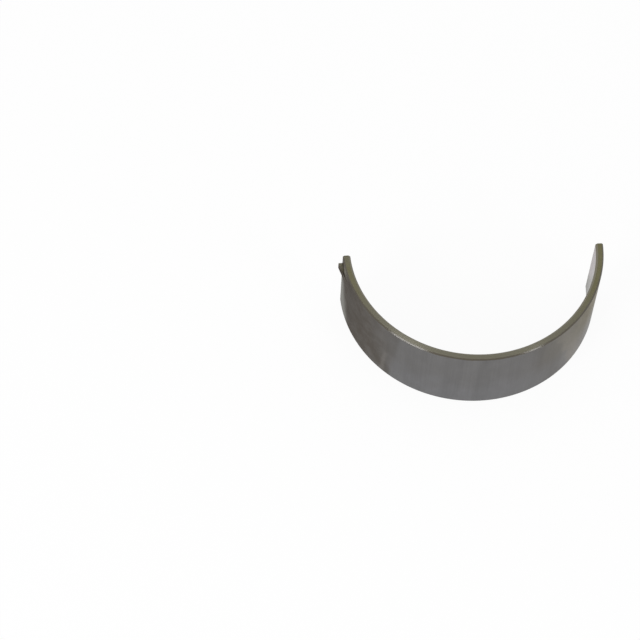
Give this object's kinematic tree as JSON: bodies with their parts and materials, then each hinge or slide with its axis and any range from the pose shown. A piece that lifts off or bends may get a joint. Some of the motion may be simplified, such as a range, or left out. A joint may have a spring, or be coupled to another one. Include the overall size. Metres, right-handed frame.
{
  "type": "engine bearing shell",
  "caption": "Half-round steel-backed plain bearing shell with a pressed locating tang at one joint face and chamfered bore edges.",
  "frame": {"origin": "on the axis of the bore, halfway between the side faces; the shell lies on its lower side face, at Z = -8.15 mm", "axes": "+Z along the axis of the bore towards the upper side face, which is the side nearer the tang; -Y towards the crown of the back; the joint face with the tang is at the -X end"},
  "size_m": [0.0518, 0.0248, 0.0164],
  "materials": {
    "bearing_shell": "dull grey tin-flashed steel back with faint marks along the axis, olive-grey turned side faces, lighter satin lining in the bore"
  },
  "bodies": {
    "root": {"bearing_shell": "bearing_shell"}
  },
  "joints": []
}
